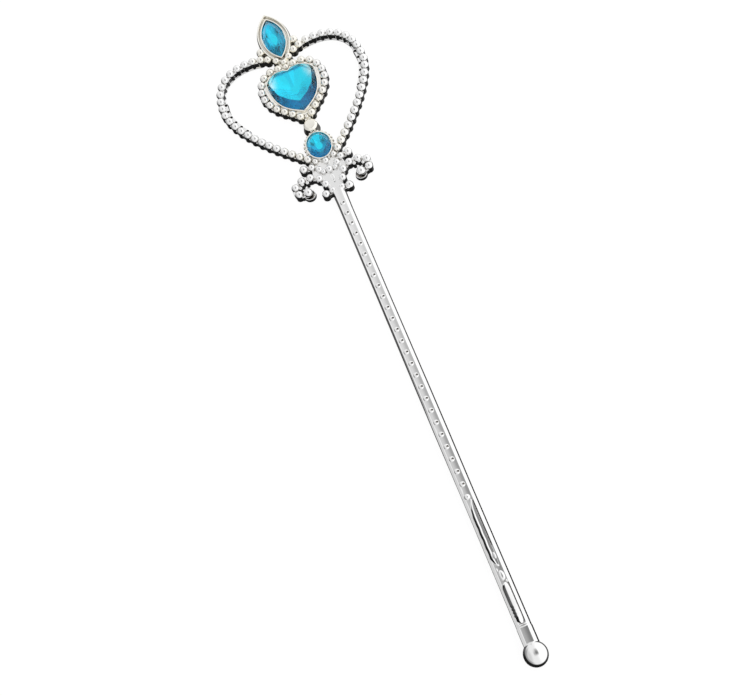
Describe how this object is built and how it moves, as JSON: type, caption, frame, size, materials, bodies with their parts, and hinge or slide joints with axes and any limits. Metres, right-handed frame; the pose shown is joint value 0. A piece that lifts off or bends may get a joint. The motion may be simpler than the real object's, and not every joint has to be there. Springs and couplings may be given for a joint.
{
  "type": "toy princess wand",
  "caption": "Child's dress-up wand in bright silver plating: a beaded open heart with faceted blue stones over a scroll base, on a slim studded shaft that ends in a ball.",
  "frame": {"origin": "on the flat back, under the middle of the wand's length", "axes": "+Y from the ball to the tip of the head, +X across the head, +Z out of the decorated front"},
  "size_m": [0.07, 0.305, 0.0087],
  "materials": {
    "silver_plating": "bright silver vacuum plating on moulded plastic",
    "blue_acrylic": "polished faceted acrylic over blue foil"
  },
  "bodies": {
    "root": {"wand_body": "silver_plating", "pointed_stone": "blue_acrylic", "heart_stone": "blue_acrylic", "oval_stone": "blue_acrylic"}
  },
  "joints": []
}
